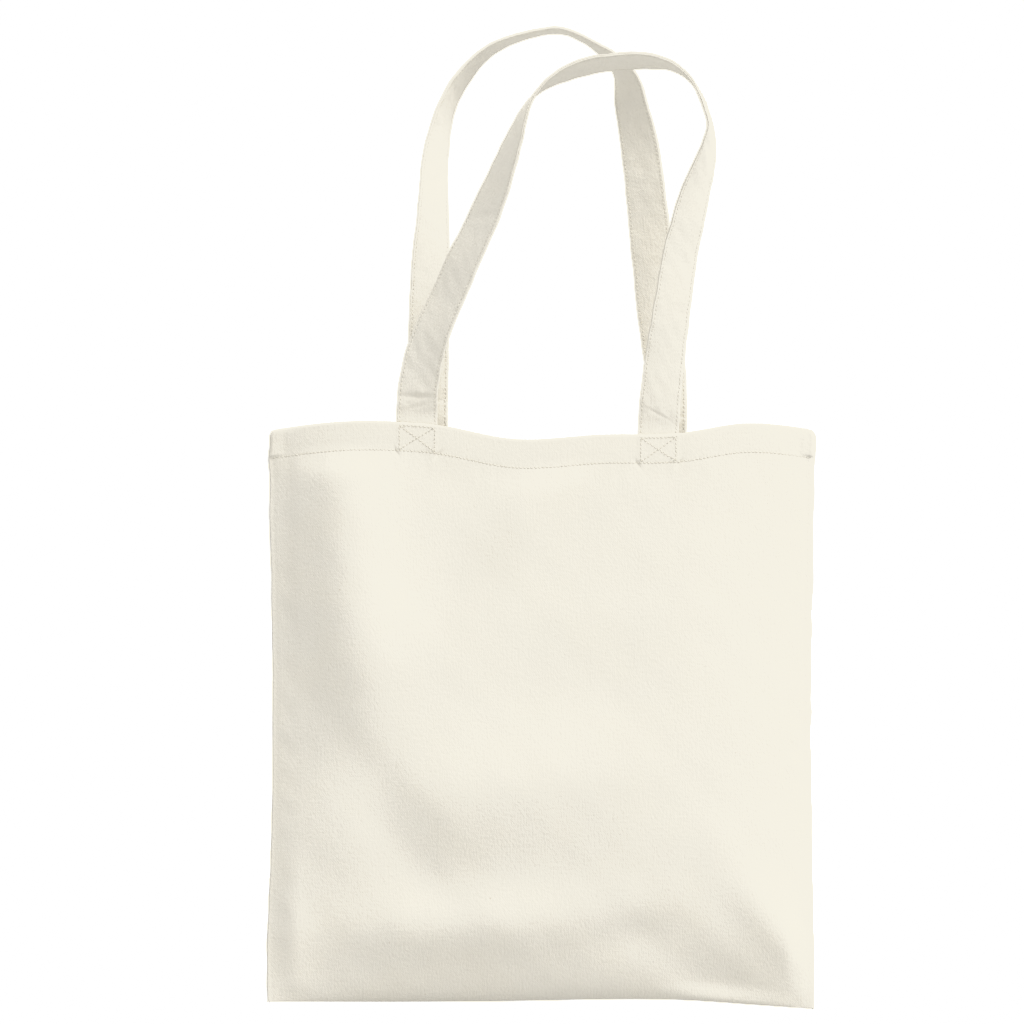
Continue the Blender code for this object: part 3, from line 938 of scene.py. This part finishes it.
class ToteSizes(PropertyGroup):
    """Sizes of the bag."""

    bag_width: length_of("Bag width", "Across the side seams", 0.380)
    bag_height: length_of("Bag height", "Bottom fold to rim", 0.400)
    cloth: length_of("Cloth", "Thickness of one layer of canvas", 0.0006)
    side_draw: length_of("Side draw", "How far each side draws in where the bag is fullest", 0.0024)
    full_depth: length_of("Full depth", "Front cloth to the seam plane where the bag is fullest", 0.022)
    mouth_depth: length_of("Mouth depth", "Front cloth to the seam plane at the rim", 0.018)
    back_depth: length_of("Back depth", "Back cloth to the seam plane", 0.014)
    back_rim_depth: length_of("Back rim depth", "Back cloth to the seam plane at the rim", 0.0122)
    full_from: share_of("Fullest from", "Share of the height where the bag starts to be fullest", 0.35)
    full_to: share_of("Fullest to", "Share of the height where it stops", 0.55)
    back_flat_top: share_of("Back flat top", "Share of the height where the flat of the back ends", 0.84)
    seam_depth: length_of("Seam depth", "Seam plane to the outer face of the cloth at a side seam", 0.00075)
    hem: length_of("Hem", "Rim to the hem's row of stitches", 0.0195)
    hem_back: length_of("Hem back", "Outer face of the cloth to the inner face of the hem", 0.0021)
    seam_inset: length_of("Seam inset", "Side edge to the sewn edge inside it", 0.003)
    seam_allowance: length_of("Seam allowance", "Width of the sewn edge inside each side", 0.008)
    seam_foot: length_of("Seam foot", "Bottom fold to the foot of the sewn edge", 0.026)
    seam_stitch: length_of("Seam stitch", "Start of the sewn edge to its stitches", 0.0012)
    strap_width: length_of("Strap width", "Width of each folded strap", 0.028)
    strap_layer: length_of("Strap layer", "Thickness of one of a strap's four layers", 0.0005)
    strap_back: length_of("Strap back", "Outer face of the cloth to the middle of a sewn strap end", 0.0034)
    strap_tuck: length_of("Strap tuck", "How far a strap end reaches below the hem's stitches", 0.0025)
    edge_stitch: length_of("Edge stitch", "Strap edge to its row of stitches", 0.0018)
    handle_spacing: length_of("Handle spacing", "Middle to middle of a handle's two legs", 0.167)
    front_shift: length_of("Front shift", "Middle of the front handle from the centre line", -0.0028, -0.1)
    rear_shift: length_of("Rear shift", "Middle of the rear handle from the centre line", 0.0036, -0.1)
    front_rise: length_of("Front rise", "Rim to the top of the front handle", 0.2486)
    rear_rise: length_of("Rear rise", "Rim to the top of the rear handle", 0.2802)
    front_lean: length_of("Front lean", "How far the front handle leans out at its top", 0.034)
    rear_lean: length_of("Rear lean", "How far the rear handle leans out at its top", 0.014)
    thread: length_of("Thread", "Thickness of the sewing thread", 0.0005)
    hem_pitch: length_of("Hem stitch", "Length of one stitch of the hem", 0.0026)
    box_pitch: length_of("Box stitch", "Length of one stitch of a strap's box", 0.0026)
    strap_pitch: length_of("Strap stitch", "Length of one stitch along a strap", 0.0029)


class ToteLooks(PropertyGroup):
    """Colours and weave of the bag, and the light on it."""

    canvas_colour: colour_of("Canvas", "Colour of the body cloth", (0.80, 0.77, 0.69))
    strap_colour: colour_of("Straps", "Colour of the folded straps", (0.80, 0.77, 0.69))
    warm_colour: colour_of("Warm patches", "Colour of the cloth where it is warmer", (0.79, 0.75, 0.65))
    # painted shade: the colour that darkens the gaps between the yarns, the pits of the cloth and the grooves
    # between the thread's plies
    painted_shade_colour: colour_of("Painted shade in gaps", "Painted shade between the yarns, in the pits and between the thread's plies", (0.42, 0.37, 0.27))
    fleck_colour: colour_of("Flecks", "Colour of the flecks of seed husk", (0.32, 0.24, 0.14))
    # painted shade: the colour that darkens the needle holes
    hole_shade_colour: colour_of("Painted shade in needle holes", "Painted shade in the needle holes", (0.30, 0.27, 0.20))
    thread_colour: colour_of("Thread", "Colour of the sewing thread", (0.86, 0.83, 0.73))
    warp_pitch: length_of("Warp pitch", "Upright yarn to upright yarn", 0.00075)
    weft_pitch: length_of("Weft pitch", "Level yarn to level yarn", 0.00085)
    hole_size: amount_of("Hole size", "Radius of a needle hole, in millimetres", 0.36)
    key_strength: amount_of("Key light", "Strength of the wide soft light", 3.4)
    key_angle: amount_of("Key width", "How wide the soft lights are", 0.6, subtype="ANGLE")
    fill: amount_of("Fill", "Strength of the even light all round", 0.75)
    back_strength: amount_of("Back light", "Strength of the soft light on the back", 1.0)


def shape_of(context):
    return BagShape(context.scene.tote_sizes)


class BodyCloth(Operator):
    """Make the body: one cloth folded at the bottom, with its hem turned in round the mouth"""

    bl_idname = "tote.body_cloth"
    bl_label = "Body cloth"

    def execute(self, context):
        shape = shape_of(context)
        points, faces, cloth, sewing = [], [], [], []
        count = 0
        for side, _ in LABELS:
            grid, flat, spread = self.half(shape, side)
            rows, columns = grid.shape[:2]
            found = grid_faces(rows, columns, flip=side == REAR)
            lines = hem_lines(shape) + box_lines(shape, side, LEFT) + box_lines(shape, side, RIGHT)
            points.append(grid.reshape(-1, 3))
            faces.append(found + count)
            cloth.append(flat.reshape(-1, 2)[found])
            sewing.append(sewing_places(spread.reshape(-1, 2)[found], lines))
            count += rows * columns
        finish = canvas_material("natural_canvas", context.scene.tote_looks.canvas_colour)
        points, faces, cloth, sewing = (np.concatenate(part) for part in (points, faces, cloth, sewing))
        body = new_object("body_cloth", points, faces.tolist(), finish, cloth, sewing, closed=False)
        weld(body, 0.002 * MM)
        thicken(body, shape.sizes.cloth - 0.05 * MM)
        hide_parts("front_panel", "rear_panel", "front_hem", "rear_hem")
        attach(body, "bag")
        return {"FINISHED"}

    def columns(self, shape, side):
        """Shares of the half width, closer together at the side seams and at the edges of the straps."""
        places = np.linspace(-1, 1, 4001)
        density = 1 + 0.9 * bump(1 - np.abs(places), 0.08)
        for leg in (LEFT, RIGHT):
            for edge in (-0.5, 0.5):
                strap_edge = shape.leg_x(side, leg) + edge * shape.sizes.strap_width
                density = density + 2.2 * bump(places - 2 * strap_edge / shape.width, 0.04)
        filled = np.concatenate([[0], np.cumsum((density[1:] + density[:-1]) / 2)])
        return np.interp(np.linspace(0, filled[-1], 271), filled, places)

    def half(self, shape, side):
        """Rows of points from the bottom fold up one side, over the rim and down inside the hem.

        Gives the points, their places on the flat cloth, and (x, distance below the rim) for the stitches.
        """
        s = shape.sizes
        shares = self.columns(shape, side)
        band, back, inset = 34 * MM, s.hem_back, 2.2 * MM
        step = np.linspace(0, 1, 96)
        lower = np.concatenate([[0, 0.0008, 0.0022, 0.0045], (0.75 * step + 0.25 * step**2)[1:-1]])
        upper = [np.linspace(34, 24, 7), np.linspace(23.1, 16.2, 10), np.linspace(14.6, 2.6, 9), (1.8, 1.1)]
        keel = shares * shape.width / 2
        rows = [np.stack([keel, 0 * keel, shape.fold(keel) - 0.5 * MM], axis=-1)]
        for up in lower:
            x = shares * shape.half_width(up * (s.bag_height - band) / s.bag_height)
            rows.append(shape.skin(side, x, shape.fold(x) + up * (shape.rim(x) - band - shape.fold(x))))
        for below in np.concatenate(upper) * MM:
            x = shares * shape.half_width(1 - below / s.bag_height)
            rows.append(shape.skin(side, x, shape.rim(x) - below))
        turned = [(below, 0) for below in (1.1, 2.5, 5, 8, 11, 14, 17, 18.3)]
        turned += [(19.5, 0.2), (20.6, 0), (21.3, 0.1), (21.65, 0.5), (21.4, 0.9), (20.8, 1.0), (18.0, 1.0)]
        hem = []
        for below, out in turned:
            x = shares * (shape.half_width(1 - below * MM / s.bag_height) - inset)
            row = shape.skin(side, x, shape.rim(x) - below * MM, back - out * MM)
            row[:, 1] = side * np.maximum(0.12 * MM, side * row[:, 1])
            hem.append(row)
        outer, inner = rows[-1], hem[0]
        reach = np.linalg.norm(outer - inner, axis=1, keepdims=True) / 2
        for degrees in (35, 65, 90, 115, 145):
            turn = math.radians(degrees)
            roll = (outer + inner) / 2 + (outer - inner) / 2 * math.cos(turn)
            rows.append(roll + reach * math.sin(turn) * np.array((0.0, 0.0, 1.0)))
        grid = np.stack(rows + hem)
        grid[..., 0] += np.sign(shares) * np.abs(shares) ** 12 * shape.side_sway(grid[..., 0], grid[..., 2])
        groove = grid[:, [0, -1]] * (1, 0, 1) + np.array(((1.3 * MM, 0, 0), (-1.3 * MM, 0, 0)))
        grid = np.concatenate([groove[:, :1], grid, groove[:, 1:]], axis=1)
        run = run_along(grid[:, len(shares) // 2])[:, None]
        edge = shape.width / 2 + 1.5 * MM
        across = np.concatenate([[-edge], keel, [edge]])[None]
        spread = paired(grid[..., 0], shape.rim(grid[..., 0]) - grid[..., 2])
        return grid, paired(across, run * -side), spread


class Straps(Operator):
    """Make both straps: each one cloth folded to four layers, sewn inside the rim at both ends"""

    bl_idname = "tote.straps"
    bl_label = "Straps"

    def execute(self, context):
        shape = shape_of(context)
        s = shape.sizes
        outline, around = strap_section(s)
        finish = canvas_material("folded_strap_canvas", context.scene.tote_looks.strap_colour)
        for side, label in LABELS:
            path = StrapPath(shape, side)
            ends = np.linspace(0, path.left_exit, 15)[:-1]
            free = np.linspace(path.left_exit, path.right_exit, 321)
            creased = np.linspace(*CREASED)
            closer = np.concatenate([path.left_exit + creased, path.right_exit - creased])
            stations = np.sort(np.concatenate([ends, free, closer, path.total - ends]))
            stations = stations[np.diff(stations, prepend=-1) > 0.1 * MM]
            points = path.at(stations[:, None], outline[None, :, 0], outline[None, :, 1])
            rows, columns = points.shape[:2]
            faces = strip_faces(rows, columns)
            run, across = stations[:, None], outline[None, :, 0]
            count = round(path.total / s.strap_pitch)
            row = s.strap_width / 2 - s.edge_stitch
            flat = paired(around[None], run).reshape(-1, 2)[faces]
            sewing = paired(run * count / path.total, (np.abs(across) - row) / MM).reshape(-1, 2)[faces]
            strap = new_object(f"{label}_strap", points.reshape(-1, 3), faces.tolist(), finish, flat, sewing)
            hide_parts(f"{label}_handle_strap", f"{label}_left_strap_end", f"{label}_right_strap_end")
            bend_between(strap, label)
        return {"FINISHED"}


class StrapStitches(Operator):
    """Make the row of stitches near each edge of both straps, on both faces"""

    bl_idname = "tote.strap_stitches"
    bl_label = "Strap stitches"

    def execute(self, context):
        shape = shape_of(context)
        s = shape.sizes
        row = s.strap_width / 2 - s.edge_stitch
        face_out = 2 * s.strap_layer - 0.15 * MM
        for side, label in LABELS:
            path = StrapPath(shape, side)
            count = round(path.total / s.strap_pitch)
            paths, normals = [], []
            for i, (across, face) in enumerate(((-row, 1), (row, 1), (-row, -1), (row, -1))):
                places = uneven_stitches((0, across), (path.total, across), count, 300 + i + 10 * side)
                length, over = places[..., 0], places[..., 1]
                hidden = face == -side
                middle = length[:, 2]
                shown = (middle > path.left_exit) & (middle < path.right_exit) if hidden else middle > 0.002
                shown &= middle < path.total - 0.002
                length, over = length[shown], over[shown]
                out = face_out + s.thread * 0.3 + ARCH
                points = path.at(length, over, face * out)
                paths.append(points)
                normals.append(unit(points[:, 2] - path.at(length, over, face * 0.3 * MM)[:, 2]))
            paths, normals = np.concatenate(paths), np.concatenate(normals)
            replaced = (f"{label}_handle_outer_stitching", f"{label}_handle_inner_stitching")
            radius = s.thread * STITCH_RADIUS
            stitching = thread_object(f"{label}_strap_thread", paths, normals, radius, replaced)
            bend_between(stitching, label)
        return {"FINISHED"}


class HemStitches(Operator):
    """Make the row of stitches along the hem, front and back, outside and inside"""

    bl_idname = "tote.hem_stitches"
    bl_label = "Hem stitches"

    def execute(self, context):
        shape = shape_of(context)
        for side, label in LABELS:
            paths, normals = cloth_stitches(shape, side, hem_lines(shape), 100 + side)
            radius = shape.sizes.thread * STITCH_RADIUS
            thread_object(f"{label}_hem_thread", paths, normals, radius, (f"{label}_hem_stitching",), "bag")
        return {"FINISHED"}


class BoxStitches(Operator):
    """Make the four crossed boxes of stitches that hold the strap ends"""

    bl_idname = "tote.box_stitches"
    bl_label = "Box stitches"

    def execute(self, context):
        shape = shape_of(context)
        for side, label in LABELS:
            for leg, end in ENDS:
                lines, seed = box_lines(shape, side, leg), 200 + 20 * side + 5 * leg
                paths, normals = cloth_stitches(shape, side, lines, seed)
                name = f"{label}_{end}_box"
                radius = shape.sizes.thread * STITCH_RADIUS
                thread_object(f"{name}_thread", paths, normals, radius, (f"{name}_stitch",), "bag")
        return {"FINISHED"}


class SideSeams(Operator):
    """Make the sewn edge inside each side of the bag, its stitches and the thread that binds it"""

    bl_idname = "tote.side_seams"
    bl_label = "Side seams"

    def execute(self, context):
        shape = shape_of(context)
        s = shape.sizes
        finish = canvas_material("natural_canvas", context.scene.tote_looks.canvas_colour)
        wide, gap = s.seam_allowance, s.cloth / 2 + 0.02 * MM
        path = [(x, -gap) for x in np.linspace(wide, 0.5 * MM, 7)] + arc(gap, 0, gap, -90, -270, 5)
        path += [(x, gap) for x in np.linspace(0.5 * MM, wide, 7)]
        outline, around = outline_of(path, s.cloth - 0.05 * MM)
        for side, label in ENDS:
            heights = np.linspace(0, 1, 150)
            points = self.at(shape, side, heights[:, None], outline[None, :, 0], outline[None, :, 1])
            rows, columns = points.shape[:2]
            faces = strip_faces(rows, columns)
            run = heights[:, None] * (s.bag_height - s.seam_foot)
            flat = paired(around[None], run).reshape(-1, 2)[faces]
            unsewn = np.full(flat.shape, UNSEWN)
            points, faces = points.reshape(-1, 3), faces.tolist()
            edge = new_object(f"{label}_seam_edge", points, faces, finish, flat, unsewn)
            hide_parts(f"{label}_seam_allowance")
            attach(edge, "bag")
            self.stitches(shape, side, label)
            self.overlock(shape, side, label)
        return {"FINISHED"}

    def at(self, shape, side, height, inwards, y):
        """Points on the sewn edge, from a share of its height, the distance in from its start, and y."""
        s = shape.sizes
        height, inwards, y = np.broadcast_arrays(height, inwards, y)
        x = side * (shape.width / 2 - s.seam_inset - inwards)
        z = shape.fold(x) + s.seam_foot + height * (shape.rim(x) - 0.3 * MM - shape.fold(x) - s.seam_foot)
        x = side * (shape.half_width(shape.up(x, z)) - s.seam_inset - inwards)
        sway = 0.35 * MM * ripples(41 + side, 0.05, z) * ease(inwards / 0.006)
        return np.stack([x, y + sway * ease((0.97 - height) / 0.05), z], axis=-1)

    def stitches(self, shape, side, label):
        s = shape.sizes
        count = round((s.bag_height - s.seam_foot) / s.hem_pitch)
        paths, normals = [], []
        for face in (-1, 1):
            places = uneven_stitches((0.004, 0.0), (0.996, 0.0), count, 400 + side + face)
            out = s.cloth + 0.02 * MM + s.thread * 0.2 + ARCH
            paths.append(self.at(shape, side, places[..., 0], s.seam_stitch, face * out))
            normals.append(np.tile((0.0, face, 0.0), (count, 1)))
        paths, normals = np.concatenate(paths), np.concatenate(normals)
        name = f"{label}_seam_thread"
        thread_object(name, paths, normals, s.thread * 0.4, (f"{label}_seam_stitching",), "bag")

    def overlock(self, shape, side, label):
        """The thread that winds round the raw edge."""
        s = shape.sizes
        turns, sides, points_per_turn = 210, 5, 12
        angle = np.linspace(0, 2 * math.pi * turns, turns * points_per_turn)
        across = s.seam_allowance - 1.0 * MM + 1.5 * MM * np.cos(angle)
        out = (s.cloth + 0.12 * MM) * np.clip(1.5 * np.sin(angle), -1, 1)
        height = np.linspace(0.003, 0.997, len(angle))
        line = self.at(shape, side, height, across, out)
        forward = unit(np.gradient(line, axis=0))
        aside = unit(np.cross(forward, (0.0, 0.0, 1.0)))
        upward = np.cross(aside, forward)
        turn = np.linspace(0, 2 * math.pi, sides, endpoint=False)[None, :, None]
        ring = np.cos(turn) * aside[:, None] + np.sin(turn) * upward[:, None]
        points = (line[:, None] + s.thread * 0.32 * ring).reshape(-1, 3)
        faces = ring_faces(len(line), sides)
        caps = [list(range(sides)), [len(line) * sides - 1 - j for j in range(sides)]]
        flat = paired(run_along(line)[:, None], np.arange(sides)[None] / sides).reshape(-1, 2)
        corners = np.concatenate([flat[faces].reshape(-1, 2), *(flat[cap] for cap in caps)])
        faces = faces.tolist() + caps
        thread = new_object(f"{label}_overlock_thread", points, faces, thread_material(), corners)
        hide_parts(f"{label}_overlock_edge")
        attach(thread, "bag")


class Stage(Operator):
    """Set up the floor, the soft studio light and the camera"""

    bl_idname = "tote.stage"
    bl_label = "Stage"

    def execute(self, context):
        looks = context.scene.tote_looks
        scene = context.scene
        self.floor(CAD_BOX[0][2] - FLOOR_GAP)
        self.world(scene, looks.fill)
        self.sun(scene, "key_light", looks.key_strength, looks.key_angle, KEY_FROM)
        self.sun(scene, "back_light", looks.back_strength, looks.key_angle, BACK_FROM)
        camera = bpy.data.objects.new("camera", bpy.data.cameras.new("camera"))
        camera.location = CAMERA_PLACE
        camera.rotation_euler = (math.pi / 2, 0.0, 0.0)
        camera.data.lens = CAMERA_LENS
        scene.collection.objects.link(camera)
        scene.camera = camera
        scene.view_settings.view_transform = "Standard"
        scene.view_settings.look = "None"
        self.highlights(scene.view_settings)
        return {"FINISHED"}

    def sun(self, scene, name, strength, width, direction):
        """A light that shines from that direction."""
        light = bpy.data.lights.new(name, "SUN")
        light.energy = strength
        light.angle = width
        obj = bpy.data.objects.new(name, light)
        obj.rotation_euler = direction.to_track_quat("Z", "Y").to_euler()
        scene.collection.objects.link(obj)

    def highlights(self, view):
        """Hold lit cloth at its own pale cream, so that it still stands out from the white background."""
        view.use_curve_mapping = True
        mapping = view.curve_mapping
        mapping.white_level = (BACKGROUND, BACKGROUND, BACKGROUND)
        for curve, held in zip(mapping.curves, BRIGHTEST_CLOTH):
            stops = (
                (0.90 * held, 0.90 * held),  # up to here cloth is shown as it is
                (1.06 * held, 0.97 * held),
                (1.38, held),  # the brightest cloth
                (1.62, 1.0),  # white, a little below the background
            )
            for bright, shown in stops:
                curve.points.new(bright / BACKGROUND, shown)
            for point in curve.points:
                point.handle_type = "VECTOR"
        mapping.update()

    def floor(self, height):
        """A wide round floor, which the camera sees as white."""
        work = bmesh.new()
        bmesh.ops.create_circle(work, cap_ends=True, segments=96, radius=FLOOR_RADIUS)
        mesh = bpy.data.meshes.new("floor")
        work.to_mesh(mesh)
        work.free()
        floor = bpy.data.objects.new("floor", mesh)
        floor.location.z = height
        bpy.context.scene.collection.objects.link(floor)
        shader = Shader("pale_floor")
        mottle = shader.noise(shader.node("ShaderNodeTexCoord", {}, output=3), 3.0, 2.0)
        shade = shader.mix(mottle * 0.2, *FLOOR_GREYS)
        seen = shader.node("ShaderNodeLightPath", {}, output=0)
        glow = shader.mix(seen, (0.0, 0.0, 0.0, 1.0), (1.0, 1.0, 1.0, 1.0))
        shader.set(Base_Color=shade, Roughness=0.9, Specular_IOR_Level=0.1)
        shader.set(Emission_Color=glow, Emission_Strength=FLOOR_GLOW)
        mesh.materials.append(shader.material)

    def world(self, scene, strength):
        """Even light all round, behind a white background."""
        world = bpy.data.worlds.new("studio")
        world.use_nodes = True
        nodes, links = world.node_tree.nodes, world.node_tree.links
        light, seen = nodes["Background"], nodes.new("ShaderNodeBackground")
        light.inputs["Color"].default_value = (1.0, 0.99, 0.97, 1.0)
        light.inputs["Strength"].default_value = strength
        seen.inputs["Color"].default_value = (1.0, 1.0, 1.0, 1.0)
        seen.inputs["Strength"].default_value = BACKGROUND
        pick, ray = nodes.new("ShaderNodeMixShader"), nodes.new("ShaderNodeLightPath")
        links.new(ray.outputs["Is Camera Ray"], pick.inputs[0])
        links.new(light.outputs[0], pick.inputs[1])
        links.new(seen.outputs[0], pick.inputs[2])
        links.new(pick.outputs[0], nodes["World Output"].inputs["Surface"])
        scene.world = world


class TotePanel(Panel):
    """Sizes, looks and pieces of the bag, in the 3D view's sidebar."""

    bl_idname = "VIEW3D_PT_tote_bag"
    bl_label = "Canvas tote bag"
    bl_space_type = "VIEW_3D"
    bl_region_type = "UI"
    bl_category = "Tote bag"

    def draw(self, context):
        for group in (context.scene.tote_sizes, context.scene.tote_looks):
            column = self.layout.column(align=True)
            for key in group.__annotations__:
                column.prop(group, key)
        for piece in PIECES:
            self.layout.operator(piece.bl_idname)


PIECES = (BodyCloth, Straps, HemStitches, BoxStitches, StrapStitches, SideSeams, Stage)
CLASSES = (ToteSizes, ToteLooks, *PIECES, TotePanel)


def register():
    for cls in CLASSES:
        bpy.utils.register_class(cls)
    bpy.types.Scene.tote_sizes = PointerProperty(type=ToteSizes)
    bpy.types.Scene.tote_looks = PointerProperty(type=ToteLooks)


def unregister():
    del bpy.types.Scene.tote_looks
    del bpy.types.Scene.tote_sizes
    for cls in reversed(CLASSES):
        bpy.utils.unregister_class(cls)


def main():
    register()
    for piece in PIECES:
        group, name = piece.bl_idname.split(".")
        getattr(getattr(bpy.ops, group), name)()


if __name__ == "__main__":
    main()
